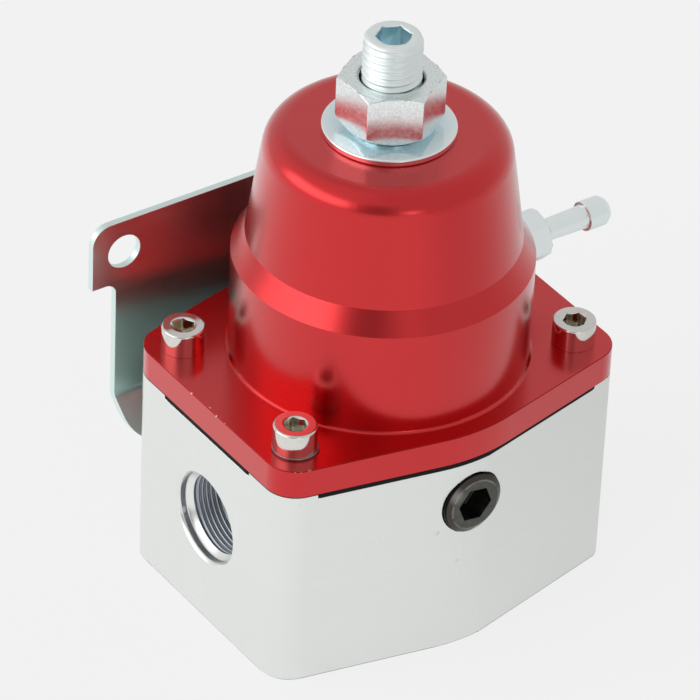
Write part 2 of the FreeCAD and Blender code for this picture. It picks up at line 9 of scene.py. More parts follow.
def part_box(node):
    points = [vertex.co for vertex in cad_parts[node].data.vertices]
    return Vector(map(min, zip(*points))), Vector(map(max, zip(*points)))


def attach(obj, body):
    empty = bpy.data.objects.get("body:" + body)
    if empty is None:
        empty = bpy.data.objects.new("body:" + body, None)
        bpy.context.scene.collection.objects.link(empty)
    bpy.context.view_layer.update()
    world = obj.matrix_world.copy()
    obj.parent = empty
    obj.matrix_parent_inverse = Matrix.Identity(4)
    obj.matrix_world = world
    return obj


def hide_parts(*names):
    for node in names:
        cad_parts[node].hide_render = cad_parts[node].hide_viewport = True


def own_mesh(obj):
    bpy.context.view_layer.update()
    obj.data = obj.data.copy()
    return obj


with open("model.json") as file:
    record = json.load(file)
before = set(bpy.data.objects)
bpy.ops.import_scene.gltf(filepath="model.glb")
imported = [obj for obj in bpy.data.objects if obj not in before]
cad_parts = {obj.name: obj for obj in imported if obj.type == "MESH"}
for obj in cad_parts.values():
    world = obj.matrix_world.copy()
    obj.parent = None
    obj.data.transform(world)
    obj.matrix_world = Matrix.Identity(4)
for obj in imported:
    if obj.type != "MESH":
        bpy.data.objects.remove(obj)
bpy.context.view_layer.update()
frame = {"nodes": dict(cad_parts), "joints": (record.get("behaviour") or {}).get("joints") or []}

# Machined lower body
# A block of bare aluminium milled from bar: six-sided outline, two inlets, a return port
# below and a gauge port in front. Its ports are tapped, and its edges are lightly broken.
MM = 0.001
weld_distance = 0.002 * MM
close = 5 * weld_distance
flat_angle = math.radians(0.4)
sharp_angle = math.radians(25)
thread_profile_points = 9
thread_flat = 0.12
body_low, body_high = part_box("lower_body")
body_edge = 0.2 * MM
inlet_height = 23.35 * MM
inlet_thread_length = 14.5 * MM
return_thread_length = 9.0 * MM
port_thread_radius = 8.2 * MM
port_thread_start = 3.0 * MM
port_thread_depth = 0.6 * MM
port_pitch = 1.0 * MM
port_shade_radius = 8.95 * MM
port_shade_fade = 0.1 * MM
port_shade_run_in = 0.3 * MM
seam_shade_start = 0.24 * MM
seam_shade_full = 0.17 * MM
mark_strength = 0.7
handling_marks = [
    (Vector((-8.0, -32.3, 28.2)) * MM, 1.0 * MM),
    (Vector((-3.3, -33.3, 20.0)) * MM, 0.9 * MM),
    (Vector((-0.7, -33.9, 22.0)) * MM, 0.5 * MM),
    (Vector((36.0, -26.2, 39.2)) * MM, 0.7 * MM),
    (Vector((-35.9, -26.2, 42.4)) * MM, 0.5 * MM),
]
port_nick_and_glint = Vector((-38.7, 8.0, 19.9)) * MM
port_nick_and_glint_reach = 1.5 * MM


class Flow:
    """One socket of a node tree, so that maths on it is written as plain Python."""

    def __init__(self, tree, socket):
        self.tree = tree
        self.socket = socket

    def node(self, kind, settings, inputs, output=0):
        """A new node: its settings first, then the values or links of its sockets."""
        made = self.tree.nodes.new(kind)
        for name, value in settings.items():
            setattr(made, name, value)
        for name, value in inputs.items():
            if isinstance(value, Flow):
                self.tree.links.new(value.socket, made.inputs[name])
            else:
                made.inputs[name].default_value = value
        return Flow(self.tree, made.outputs[output])

    def maths(self, operation, first, second=0.0):
        """A Math node's result."""
        return self.node("ShaderNodeMath", {"operation": operation}, {0: first, 1: second})

    def vector(self, operation, other=(0, 0, 0), output=0):
        """A Vector Math node's result, from this vector and another."""
        inputs = {0: self, 1: other}
        return self.node("ShaderNodeVectorMath", {"operation": operation}, inputs, output)

    def __add__(self, other):
        return self.maths("ADD", self, other)

    def __radd__(self, other):
        return self.maths("ADD", other, self)

    def __sub__(self, other):
        return self.maths("SUBTRACT", self, other)

    def __rsub__(self, other):
        return self.maths("SUBTRACT", other, self)

    def __mul__(self, other):
        return self.maths("MULTIPLY", self, other)

    def __rmul__(self, other):
        return self.maths("MULTIPLY", other, self)

    def __truediv__(self, other):
        return self.maths("DIVIDE", self, other)

    def stretch(self, scale, turn=(0, 0, 0)):
        """Coordinates scaled and turned for one pattern."""
        inputs = {"Vector": self, "Rotation": turn, "Scale": scale}
        return self.node("ShaderNodeMapping", {}, inputs)

    def noise(self, scale, detail=2.0, roughness=0.5):
        """Cloudy noise with about this many spots to a metre."""
        inputs = {"Vector": self, "Scale": scale, "Detail": detail, "Roughness": roughness}
        return self.node("ShaderNodeTexNoise", {}, inputs)

    def between(self, low, high, start=0.0, end=1.0):
        """Start below low and end above high, with a smooth change from one to the other."""
        inputs = {"Value": self, "From Min": low, "From Max": high, "To Min": start, "To Max": end}
        return self.node("ShaderNodeMapRange", {"interpolation_type": "SMOOTHSTEP"}, inputs)

    def tint(self, first, second):
        """Colour from first to second as this value goes from 0 to 1. The Mix node's colours
        are its inputs 6 and 7, and its mixed colour is output 2."""
        settings = {"data_type": "RGBA"}
        return self.node("ShaderNodeMix", settings, {0: self, 6: first, 7: second}, output=2)

    def part(self, axis):
        """One coordinate: 0 for X, 1 for Y and 2 for Z."""
        return self.node("ShaderNodeSeparateXYZ", {}, {0: self}, output=axis)

    def away(self, place):
        """Distance from a place on the piece."""
        return self.vector("DISTANCE", place, output=1)

    def near(self, place, reach):
        """1 at a place on the piece, falling to 0 at a distance of reach."""
        return self.away(place).between(0.0, reach, 1.0, 0.0)

    def away_from_line(self, spot, axis):
        """Distance from the line that runs through a spot along one axis."""
        kept = [0.0 if number == axis else 1.0 for number in range(3)]
        flat_spot = [coordinate * keep for coordinate, keep in zip(spot, kept)]
        return self.vector("MULTIPLY", kept).away(flat_spot)


def new_finish(name, **sockets):
    """A new material, its shader's fixed sockets set by name, and its object coordinates."""
    material = bpy.data.materials.new(name)
    material.use_nodes = True
    shader = material.node_tree.nodes["Principled BSDF"]
    for socket, value in sockets.items():
        shader.inputs[socket.replace("_", " ")].default_value = value
    start = Flow(material.node_tree, None)
    coordinates = start.node("ShaderNodeTexCoord", {}, {}, output="Object")
    return material, shader, coordinates


def connect(flow, shader, socket):
    """Links a value or colour to one socket of the shader."""
    flow.tree.links.new(flow.socket, shader.inputs[socket])


def bumped(shader, height, strength, distance):
    """Feeds a height through a Bump node into the shader's normal."""
    inputs = {"Height": height, "Strength": strength, "Distance": distance}
    connect(height.node("ShaderNodeBump", {}, inputs), shader, "Normal")


def welded(node):
    """The CAD node's shape, its loose triangles merged and its flat faces made whole."""
    source = frame["nodes"][node].data.copy()
    if "custom_normal" in source.attributes:
        source.attributes.remove(source.attributes["custom_normal"])
    shape = bmesh.new()
    shape.from_mesh(source)
    bmesh.ops.remove_doubles(shape, verts=shape.verts, dist=weld_distance)
    bmesh.ops.dissolve_limit(
        shape, angle_limit=flat_angle, verts=shape.verts, edges=shape.edges, delimit={"NORMAL"}
    )
    return shape


def round_edges(shape, width, kept=lambda edge: False):
    """Rounds the sharp edges by a small width, apart from those that are kept."""
    edges = []
    for edge in shape.edges:
        if edge.is_manifold and edge.calc_face_angle() > sharp_angle and not kept(edge):
            edges.append(edge)
    bmesh.ops.bevel(
        shape,
        geom=edges,
        offset=width,
        offset_type="OFFSET",
        segments=2,
        profile=0.5,
        affect="EDGES",
        clamp_overlap=False,
        face_strength_mode="ALL",
    )


def baked(piece):
    """The piece with its modifiers applied and taken off."""
    graph = bpy.context.evaluated_depsgraph_get()
    mesh = bpy.data.meshes.new_from_object(piece.evaluated_get(graph), depsgraph=graph)
    piece.modifiers.clear()
    piece.data = mesh
    return piece


def made_piece(shape, name, material, body, node):
    """A smooth piece from a shape, riding on its body in place of its CAD node."""
    mesh = bpy.data.meshes.new(name)
    shape.to_mesh(mesh)
    shape.free()
    mesh.materials.clear()
    mesh.materials.append(material)
    for polygon in mesh.polygons:
        polygon.use_smooth = True
        polygon.material_index = 0
    piece = bpy.data.objects.new(name, mesh)
    bpy.context.scene.collection.objects.link(piece)
    weighted = piece.modifiers.new("Even normals", "WEIGHTED_NORMAL")
    weighted.keep_sharp = True
    weighted.use_face_influence = True
    baked(piece)
    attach(piece, body)
    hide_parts(node)
    return piece


def thread_tree():
    """Helical thread as Geometry Nodes: one pitch of profile carried round and up an axis,
    narrowed by a taper over its length and by a rounded crown at its end."""
    tree = bpy.data.node_groups.new("helical thread", "GeometryNodeTree")
    sizes = {
        "Radius": "Float",
        "Depth": "Float",
        "Pitch": "Float",
        "Length": "Float",
        "Crown Width": "Float",
        "Crown Height": "Float",
        "Taper": "Float",
        "Steps": "Int",
        "Turns": "Int",
        "Inward": "Bool",
        "Finish": "Material",
    }
    for name, kind in sizes.items():
        tree.interface.new_socket(name, in_out="INPUT", socket_type="NodeSocket" + kind)
    tree.interface.new_socket("Thread", in_out="OUTPUT", socket_type="NodeSocketGeometry")
    group = tree.nodes.new("NodeGroupInput")
    given = {name: Flow(tree, group.outputs[name]) for name in sizes}
    start = Flow(tree, None)
    grid_inputs = {
        "Size X": 1.0,
        "Size Y": 1.0,
        "Vertices X": thread_profile_points,
        "Vertices Y": given["Steps"] * given["Turns"] + 1,
    }
    grid = start.node("GeometryNodeMeshGrid", {}, grid_inputs)
    position = start.node("GeometryNodeInputPosition", {}, {})
    across = 0.5 + position.part(0)
    along = 0.5 + position.part(1)
    turn = along * given["Turns"]
    rise = start.maths("MAXIMUM", (turn + across - 1) * given["Pitch"], 0.0)
    height = start.maths("MINIMUM", rise, given["Length"])
    wave = 1 - start.maths("ABSOLUTE", across * 2 - 1)
    slope = {"Value": wave, "From Min": thread_flat, "From Max": 1 - thread_flat}
    flank = start.node("ShaderNodeMapRange", {}, slope)
    to_end = start.maths("MINIMUM", height, given["Length"] - height)
    run_out = start.maths("MINIMUM", to_end / given["Pitch"], 1.0)
    left_over = given["Length"] - height
    climb = 1 - start.maths("MINIMUM", left_over / given["Crown Height"], 1.0)
    drop = 1 - start.maths("SQRT", 1 - climb * climb)
    narrowing = given["Crown Width"] * drop + given["Taper"] * (1 - left_over / given["Length"])
    radius = given["Radius"] - narrowing + given["Depth"] * flank * run_out
    angle = turn * math.tau
    along_x = radius * start.maths("COSINE", angle)
    along_y = radius * start.maths("SINE", angle)
    place = start.node("ShaderNodeCombineXYZ", {}, {0: along_x, 1: along_y, 2: height})
    wound = start.node("GeometryNodeSetPosition", {}, {"Geometry": grid, "Position": place})
    merging = {"Geometry": wound, "Distance": weld_distance / 2}
    closed = start.node("GeometryNodeMergeByDistance", {}, merging)
    outward = start.node("GeometryNodeFlipFaces", {}, {"Mesh": closed})
    sides = {"Switch": given["Inward"], "False": outward, "True": closed}
    faced = start.node("GeometryNodeSwitch", {"input_type": "GEOMETRY"}, sides)
    real = start.node("GeometryNodeRealizeInstances", {}, {"Geometry": faced})
    coating = {"Geometry": real, "Material": given["Finish"]}
    finish = start.node("GeometryNodeSetMaterial", {}, coating)
    result = tree.nodes.new("NodeGroupOutput")
    tree.links.new(finish.socket, result.inputs["Thread"])
    return tree


helical_thread = thread_tree()


def thread_mesh(**sizes):
    """A plain mesh of the helical thread with these sizes and this finish."""
    holder = bpy.data.objects.new("thread", bpy.data.meshes.new("thread"))
    bpy.context.scene.collection.objects.link(holder)
    modifier = holder.modifiers.new("Thread", "NODES")
    modifier.node_group = helical_thread
    for item in helical_thread.interface.items_tree:
        size = item.name.replace(" ", "_")
        if item.in_out == "INPUT" and size in sizes:
            modifier[item.identifier] = sizes[size]
    mesh = baked(holder).data
    bpy.data.objects.remove(holder)
    return mesh


def cut_port_thread(shape, foot, axis, length, material):
    """Puts a helical thread in place of a port's plain wall, which starts at foot."""
    place = Matrix.Translation(foot) @ axis.to_track_quat("Z", "Y").to_matrix().to_4x4()
    to_axis = place.inverted()

    def on_wall(vertex):
        spot = to_axis @ vertex.co
        on_radius = abs(spot.xy.length - port_thread_radius) < close
        return on_radius and -close < spot.z < length + close

    wall = [face for face in shape.faces if all(on_wall(corner) for corner in face.verts)]
    ring = [corner for corner in shape.verts if on_wall(corner) and (to_axis @ corner.co).z < close]
    first = to_axis @ ring[0].co
    bmesh.ops.delete(shape, geom=wall, context="FACES")
    mesh = thread_mesh(
        Radius=port_thread_radius,
        Depth=port_thread_depth,
        Pitch=port_pitch,
        Length=length,
        Steps=len(ring),
        Turns=math.ceil(length / port_pitch) + 1,
        Inward=True,
        Finish=material,
    )
    mesh.transform(place @ Matrix.Rotation(math.atan2(first.y, first.x), 4, "Z"))
    shape.from_mesh(mesh)
    bmesh.ops.remove_doubles(shape, verts=shape.verts, dist=close)
    for edge in shape.edges:
        heights = [(to_axis @ corner.co).z for corner in edge.verts]
        if all(on_wall(corner) for corner in edge.verts):
            if max(heights) < close or min(heights) > length - close:
                edge.smooth = False


def bare_aluminium():
    """Milled aluminium: fine level tool marks, a soft cloudiness, a few handling marks, a
    nick on the left port's mouth, rougher and painted near white as its glint, duller threads
    in the inlets painted darker as shade, and a line of painted shade along the top, under
    the flange."""
    material, shader, place = new_finish("bare aluminium", Metallic=1.0)
    streaks = place.stretch((14, 14, 700)).noise(1.0, 2.0)
    clouds = place.noise(34.0, 2.0)
    tone = streaks * 0.4 + clouds * 0.6
    bare = tone.tint((0.79, 0.81, 0.79, 1), (0.85, 0.87, 0.85, 1))
    from_axis = place.away_from_line((0, 0, inlet_height), 0)
    # Painted shade: the inlet threads, up to where the thread starts, are painted darker as shade;
    # the same mask makes them duller.
    port_thread_shade_and_dullness = from_axis.between(port_shade_radius - port_shade_fade, port_shade_radius, 1.0, 0.0)
    along = place.maths("ABSOLUTE", place.part(0))
    thread_start = body_high.x - port_thread_start
    port_thread_shade_and_dullness = port_thread_shade_and_dullness * along.between(thread_start - port_shade_run_in, thread_start, 1.0, 0.0)
    colour = port_thread_shade_and_dullness.tint(bare, (0.42, 0.45, 0.49, 1))
    # Painted shade: a near-black line along the block's top edge, where the diaphragm and flange
    # shade it.
    seam = body_high.z
    seam_shade = place.part(2).between(seam - seam_shade_start, seam - seam_shade_full)
    colour = seam_shade.tint(colour, (0.03, 0.025, 0.025, 1))
    smear = place.stretch((900, 900, 2600), (0.3, 0.5, 0)).noise(1.0, 2.0).between(0.4, 0.65)
    for spot, reach in handling_marks:
        mark = mark_strength * place.near(spot, reach) * smear
        colour = mark.tint(colour, (0.42, 0.41, 0.39, 1))
    # A nick on the port's mouth: made rougher, and painted near white as its glint.
    nick = place.near(port_nick_and_glint, port_nick_and_glint_reach) * place.noise(1500.0, 2.0)
    nick = nick.between(0.1, 0.35)
    connect(nick.tint(colour, (0.97, 0.97, 1.0, 1)), shader, "Base Color")
    rough = clouds.between(0.3, 0.7, 0.24, 0.3)
    connect(rough + port_thread_shade_and_dullness * 0.14 + nick * 0.4, shader, "Roughness")
    return material


aluminium = bare_aluminium()
block = welded("lower_body")
ports = [
    (Vector((body_low.x, 0, inlet_height)), Vector((1, 0, 0)), inlet_thread_length),
    (Vector((body_high.x, 0, inlet_height)), Vector((-1, 0, 0)), inlet_thread_length),
    (Vector((0, 0, body_low.z)), Vector((0, 0, 1)), return_thread_length),
]


def on_port_thread(edge):
    """True for the edges where a port's thread begins or ends."""
    for mouth, inward, length in ports:
        corner = edge.verts[0].co - mouth
        depth = corner.dot(inward)
        away = (corner - inward * depth).length
        if abs(away - port_thread_radius) < close and depth > port_thread_start / 2:
            return True
    return False


round_edges(block, body_edge, on_port_thread)
for mouth, inward, length in ports:
    foot = mouth + inward * port_thread_start
    cut_port_thread(block, foot, inward, length, aluminium)
made_piece(block, "machined_block", aluminium, "regulator", "lower_body")

# Diaphragm
# A sheet of cord-reinforced rubber clamped between the body and the flange; only its
# edge shows, as a thin black line. The valve's seal is of the same rubber.


def black_rubber():
    """Matt black rubber with a faint cloth grain."""
    material, shader, place = new_finish("black rubber", Roughness=0.7, Specular_IOR_Level=0.15)
    grain = place.noise(2600.0, 2.0)
    connect(grain.tint((0.004, 0.003, 0.003, 1), (0.012, 0.009, 0.009, 1)), shader, "Base Color")
    bumped(shader, grain, 0.4, 0.02 * MM)
    return material


def dress(material, *nodes):
    """Gives CAD nodes that stay as they are their finish."""
    for node in nodes:
        slots = frame["nodes"][node].data.materials
        slots.clear()
        slots.append(material)


dress(black_rubber(), "diaphragm", "valve_seal")

# Inner pieces
# The spring and its button, the plates, stem and nut clamped to the diaphragm, and the
# brass return seat. They hardly show, through the ports and the vacuum bore. The nut is
# plated as the adjuster is, and gets its finish there.


def plain_steel(name, light, dark, roughness):
    """Turned or drawn steel: fine rings about the axis and a little unevenness."""
    material, shader, place = new_finish(name, Metallic=1.0)
    rings = place.stretch((120, 120, 6000)).noise(1.0, 2.0)
    connect(rings.tint(dark, light), shader, "Base Color")
    connect(rings.between(0.2, 0.8, roughness * 0.8, roughness * 1.2), shader, "Roughness")
    bumped(shader, rings, 0.3, 0.005 * MM)
    return material


turned_steel = plain_steel("turned steel", (0.62, 0.6, 0.57, 1), (0.45, 0.44, 0.42, 1), 0.3)
spring_steel = plain_steel("spring steel", (0.3, 0.29, 0.29, 1), (0.16, 0.16, 0.17, 1), 0.35)
brass = plain_steel("brass", (0.82, 0.6, 0.28, 1), (0.62, 0.43, 0.18, 1), 0.25)
dress(turned_steel, "valve_stem", "spring_plate", "upper_spring_seat")
dress(brass, "return_seat")
coil = made_piece(
    welded("main_spring"), "coil_spring", spring_steel, "regulator", "main_spring"
)
spring_foot, spring_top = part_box("main_spring")
travel = next(joint for joint in frame["joints"] if joint["name"] == "adjuster_travel")
shortened = max(abs(limit) for limit in travel["range_m"])
1 - shortened / (spring_top.z - spring_foot.z)
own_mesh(coil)

# Red anodised housing
# The flange and stepped dome are turned and milled from one piece of aluminium, then
# anodised: a clear red film over bright metal, chipped to white specks along its rim.
flange_top = 50.0 * MM
rim_low = 49.85 * MM
rim_low_fade = 0.03 * MM
rim_top_fade = 0.02 * MM
rim_chips = [
    (Vector((-39.5, 5.5, 49.95)) * MM, 0.5 * MM),
    (Vector((-39.5, -2.9, 49.95)) * MM, 0.65 * MM),
    (Vector((-39.1, -0.3, 50.0)) * MM, 0.4 * MM),
    (Vector((-39.5, -5.9, 49.95)) * MM, 0.35 * MM),
    (Vector((-36.8, -25.6, 49.95)) * MM, 0.4 * MM),
    (Vector((-35.9, -26.0, 49.95)) * MM, 0.4 * MM),
    (Vector((-34.2, -26.5, 49.95)) * MM, 0.5 * MM),
    (Vector((6.8, -29.8, 50.0)) * MM, 0.35 * MM),
    (Vector((-1.0, -31.4, 50.0)) * MM, 0.3 * MM),
    (Vector((-18.5, -21.4, 50.0)) * MM, 0.25 * MM),
]


def red_anodise():
    """Red film on satin aluminium under a clear coat, with pale chips on the rim, and
    painted shade on the rim's edge band, where most of the coat is left off.
    """
    material, shader, place = new_finish(
        "red anodise", Metallic=1.0, Coat_Roughness=0.2, Coat_IOR=1.5
    )
    clouds = place.noise(70.0, 3.0)
    crumble = place.noise(2600.0, 2.0).between(0.42, 0.58)
    colour = clouds.tint((0.59, 0.002, 0.005, 1), (0.63, 0.003, 0.007, 1))
    height = place.part(2)
    # Painted shade: the flange's top edge band is painted a darker red and loses most of its coat,
    # so it shows no bright line.
    rim = height.between(rim_low, rim_low + rim_low_fade)
    rim = rim * height.between(flange_top - rim_top_fade, flange_top, 1.0, 0.0)
    colour = rim.tint(colour, (0.3, 0.004, 0.006, 1))
    for spot, reach in rim_chips:
        chip = (place.near(spot, reach) * crumble * 2.2).between(0.5, 1.1)
        colour = chip.tint(colour, (0.72, 0.5, 0.38, 1))
    connect(colour, shader, "Base Color")
    connect(1 - rim * 0.8, shader, "Coat Weight")
    connect(clouds.between(0.3, 0.7, 0.24, 0.28), shader, "Roughness")
    return material


dress(red_anodise(), "upper_housing")

# Flange screws
# Four stainless socket-head screws clamp the flange to the body. They are bright and
# smooth, and the one in front has a thin washer under it.
screw_edge = 0.08 * MM
flange_screw = Vector((32.5, 19.0, 0)) * MM
screw_socket_reach = 2.3 * MM
screw_socket_fade = 0.2 * MM
screw_socket_low = 54.4 * MM
screw_socket_high = 54.7 * MM


def rounded_piece(node, edge, name, material, body):
    """A piece in place of its CAD node, with the node's sharp edges rounded by edge."""
    shape = welded(node)
    round_edges(shape, edge)
    made_piece(shape, name, material, body, node)


def bright_stainless():
    """Polished stainless steel with faint turning rings, and painted shade in the hex sockets."""
    material, shader, place = new_finish("stainless", Metallic=1.0)
    marks = place.noise(900.0, 3.0)
    bright = marks.tint((0.66, 0.64, 0.6, 1), (0.78, 0.77, 0.74, 1))
    # Painted shade: the inside of each screw's hex socket is painted a darker brownish grey.
    from_screw = place.vector("ABSOLUTE").away_from_line(flange_screw, 2)
    reach = screw_socket_reach
    socket_shade = from_screw.between(reach - screw_socket_fade, reach, 1.0, 0.0)
    socket_shade = socket_shade * place.part(2).between(screw_socket_low, screw_socket_high, 1.0, 0.0)
    connect(socket_shade.tint(bright, (0.42, 0.39, 0.31, 1)), shader, "Base Color")
    connect(marks.between(0.3, 0.7, 0.06, 0.12), shader, "Roughness")
    bumped(shader, marks, 0.2, 0.006 * MM)
    return material


stainless = bright_stainless()
for side in ("left", "right"):
    for depth in ("front", "back"):
        node = "cap_screw_" + side + "_" + depth
        name = "flange_screw_" + side + "_" + depth
        rounded_piece(node, screw_edge, name, stainless, "regulator")
dull_steel = plain_steel("dull steel", (0.42, 0.38, 0.36, 1), (0.24, 0.2, 0.2, 1), 0.3)
rounded_piece(
    "front_screw_washer", screw_edge, "thin_washer", dull_steel, "regulator"
)

# Pressure adjuster
# A zinc-plated set screw turned with a hex key, held by a tall jam nut on a broad
# washer. The plating is bluish, with a faint warm bloom; a darker blue is painted as shade
# in the screw's socket and on the washer beside the nut.
adjuster_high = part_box("adjusting_screw")[1]
adjuster_radius = 6.0 * MM
adjuster_pitch = 1.5 * MM
adjuster_thread_depth = 0.74 * MM
adjuster_crown_width = 0.95 * MM
adjuster_crown_height = 1.3 * MM
adjuster_taper = 0.35 * MM
adjuster_socket_reach = 3.72 * MM
adjuster_socket_fade = 0.3 * MM
adjuster_shade_start = 0.2 * MM
adjuster_shade_full = 0.5 * MM
nut_edge = 0.16 * MM
washer_edge = 0.1 * MM
washer_shade_start = 9.5 * MM
washer_shade_end = 13.2 * MM
washer_shade_strength = 0.8
socket_shade_blue = (0.5, 0.7, 0.75)
washer_shade_blue = (0.62, 0.77, 0.83)


def zinc_plate(name, roughness, speckle=0, painted_shade_mask=None, shade=socket_shade_blue, brightness=1.0):
    """Blue-bright zinc plating: a drifting tint, a speckle, and a darker blue painted as
    shade where a given mask is strong.
    """
    material, shader, place = new_finish(name, Metallic=1.0)
    bloom = place.noise(260.0, 2.0)
    specks = place.noise(1100.0, 2.0, 0.6)
    blue = [part * brightness for part in (0.82, 0.9, 0.92)]
    pale = [part * brightness for part in (0.89, 0.93, 0.9)]
    colour = bloom.tint((*blue, 1), (*pale, 1))
    if speckle:
        dots = place.noise(2400.0, 2.0, 0.6).between(0.35, 0.6, 1.0, 0.0)
        colour = dots.tint(colour, (0.76, 0.79, 0.79, 1))
    if painted_shade_mask:
        # Painted shade: a darker blue where the mask is strong.
        colour = painted_shade_mask(place).tint(colour, (*shade, 1))
    connect(colour, shader, "Base Color")
    unevenness = specks if speckle else bloom
    rough = unevenness.between(0.3, 0.7, roughness * 0.85, roughness * 1.15)
    connect(rough, shader, "Roughness")
    if speckle:
        bumped(shader, specks, speckle, 0.02 * MM)
    return material


def adjuster_socket_shade(place):
    """Painted shade in the adjusting screw's hex socket: 1 inside it, 0 outside it."""
    reach = adjuster_socket_reach
    from_axis = place.away_from_line((0, 0, 0), 2)
    across = from_axis.between(reach - adjuster_socket_fade, reach, 1.0, 0.0)
    top = adjuster_high.z
    below = place.part(2).between(top - adjuster_shade_full, top - adjuster_shade_start, 1.0, 0.0)
    return across * below


def washer_shade_by_nut(place):
    """Painted shade on the washer beside the nut: strong there, fading to 0 towards the rim."""
    from_axis = place.away_from_line((0, 0, 0), 2)
    return from_axis.between(washer_shade_start, washer_shade_end, washer_shade_strength, 0.0)


zinc = zinc_plate("zinc plate", 0.4, painted_shade_mask=adjuster_socket_shade)
smooth_zinc = zinc_plate(
    "zinc plate on a pressed washer", 0.16, painted_shade_mask=washer_shade_by_nut, shade=washer_shade_blue
)
rough_zinc = zinc_plate("zinc plate on rolled flats", 0.23, speckle=0.12)
adjuster = welded("adjusting_screw")
wall = [corner for corner in adjuster.verts if abs(corner.co.xy.length - adjuster_radius) < close]
first = min(wall, key=lambda corner: corner.co.z).co.copy()
thread_foot = first.z
steps = sum(1 for corner in wall if corner.co.z - thread_foot < close)


def on_adjuster_outside(face):
    """True for the plain wall, crown and end face, which the thread and its end replace."""
    return all(
        corner.co.z > thread_foot - close and corner.co.xy.length > adjuster_socket_reach - close
        for corner in face.verts
    )


outside = [face for face in adjuster.faces if on_adjuster_outside(face)]
bmesh.ops.delete(adjuster, geom=outside, context="FACES")
thread_length = adjuster_high.z - thread_foot
thread = thread_mesh(
    Radius=adjuster_radius,
    Depth=-adjuster_thread_depth,
    Pitch=adjuster_pitch,
    Length=thread_length,
    Crown_Width=adjuster_crown_width,
    Crown_Height=adjuster_crown_height,
    Taper=adjuster_taper,
    Steps=steps,
    Turns=math.ceil(thread_length / adjuster_pitch) + 1,
    Inward=False,
    Finish=zinc,
)
turned = Matrix.Rotation(math.atan2(first.y, first.x), 4, "Z")
thread.transform(Matrix.Translation((0, 0, thread_foot)) @ turned)
adjuster.from_mesh(thread)
bmesh.ops.remove_doubles(adjuster, verts=adjuster.verts, dist=close)
open_edges = [edge for edge in adjuster.edges if edge.is_boundary]
bmesh.ops.triangle_fill(adjuster, edges=open_edges, use_beauty=True, normal=(0, 0, 1))
made_piece(adjuster, "threaded_adjuster", zinc, "adjuster", "adjusting_screw")
rounded_piece("jam_nut", nut_edge, "plated_nut", rough_zinc, "nut")
rounded_piece("flat_washer", washer_edge, "broad_washer", smooth_zinc, "washer")
dress(zinc, "stem_nut")

# Gauge port plug
# A black steel pipe plug with a hex socket, screwed in until its chamfered face stands
# just proud of the block.
plug_edge = 0.18 * MM
plug_centre = Vector((-0.47, 0, 33.26)) * MM
plug_ring = 5.3 * MM
plug_ring_width = 0.25 * MM
plug_outside = 6.5 * MM
plug_shade_near = 0.1 * MM
plug_shade_far = 0.3 * MM
plug_nick = Vector((0.0, -34.0, 27.2)) * MM
plug_nick_reach = 0.8 * MM
plug_glint = Vector((-4.9, -33.6, 36.6)) * MM
plug_glint_reach = 2.2 * MM


def black_oxide():
    """Oiled black oxide on steel, paler in places from rubbing. Its chamfer is painted darker
    as shade, with a painted highlight on the upper left; the chamfer's inner edge carries wear
    and a painted highlight, and its outer edge a painted shadow of the gap round the plug.
    """
    material, shader, place = new_finish("black oxide", Metallic=1.0)
    rub = place.noise(800.0, 4.0, 0.6)
    face = rub.tint((0.05, 0.052, 0.049, 1), (0.145, 0.145, 0.13, 1))
    out = place.away_from_line(plug_centre, 1)
    # Painted shade: the chamfer round the plug's face is painted darker than the face.
    chamfer = out.between(plug_ring + plug_shade_near, plug_ring + plug_shade_far)
    colour = chamfer.tint(face, (0.07, 0.06, 0.05, 1))
    # Painted highlight: a paler patch on the upper left of the plug's chamfer.
    glint = place.near(plug_glint, plug_glint_reach) * 0.8
    colour = glint.tint(colour, (0.3, 0.28, 0.26, 1))
    # Wear and painted highlight: a paler broken line where the chamfer meets the face.
    worn_edge_and_highlight = out.between(plug_ring - plug_ring_width, plug_ring) * rub.between(0.3, 0.6)
    worn_edge_and_highlight = worn_edge_and_highlight * out.between(plug_ring, plug_ring + plug_ring_width, 1.0, 0.0)
    colour = (worn_edge_and_highlight * 0.55).tint(colour, (0.36, 0.36, 0.33, 1))
    # Painted shadow: a near-black ring at the plug's outer edge, in the gap to the hole.
    wall = out.between(plug_outside - plug_shade_far, plug_outside - plug_shade_near)
    colour = wall.tint(colour, (0.008, 0.007, 0.01, 1))
    nick = place.near(plug_nick, plug_nick_reach)
    connect(nick.tint(colour, (0.6, 0.58, 0.45, 1)), shader, "Base Color")
    connect(rub.between(0.3, 0.7, 0.28, 0.42), shader, "Roughness")
    bumped(shader, rub, 0.3, 0.03 * MM)
    return material


rounded_piece(
    "gauge_port_plug", plug_edge, "socket_plug", black_oxide(), "regulator"
)

# Vacuum nipple
# A small zinc-plated steel fitting for a boost or vacuum hose: hexagon base, slim stem
# and a bulged end, screwed into the dome's side.
nipple_edge = 0.15 * MM
nipple_finish = zinc_plate("dull zinc plate", 0.36, brightness=1.07)
rounded_piece(
    "vacuum_nipple", nipple_edge, "hose_nipple", nipple_finish, "regulator"
)

# Mounting bracket
# Folded from 1.5 mm sheet steel and zinc plated, with two holed ears. Two screws with
# split washers hold its foot to the back of the block.
bracket_edge = 0.12 * MM


def bracket_zinc():
    """Smooth zinc plating on sheet, a little green, with rolling marks."""
    material, shader, place = new_finish("bracket zinc", Metallic=1.0)
    drift = place.noise(60.0, 2.0)
    rolled = place.stretch((40, 40, 1500)).noise(1.0, 2.0)
    connect(drift.tint((0.69, 0.84, 0.81, 1), (0.77, 0.9, 0.87, 1)), shader, "Base Color")
    connect(rolled.between(0.3, 0.7, 0.3, 0.34), shader, "Roughness")
    return material


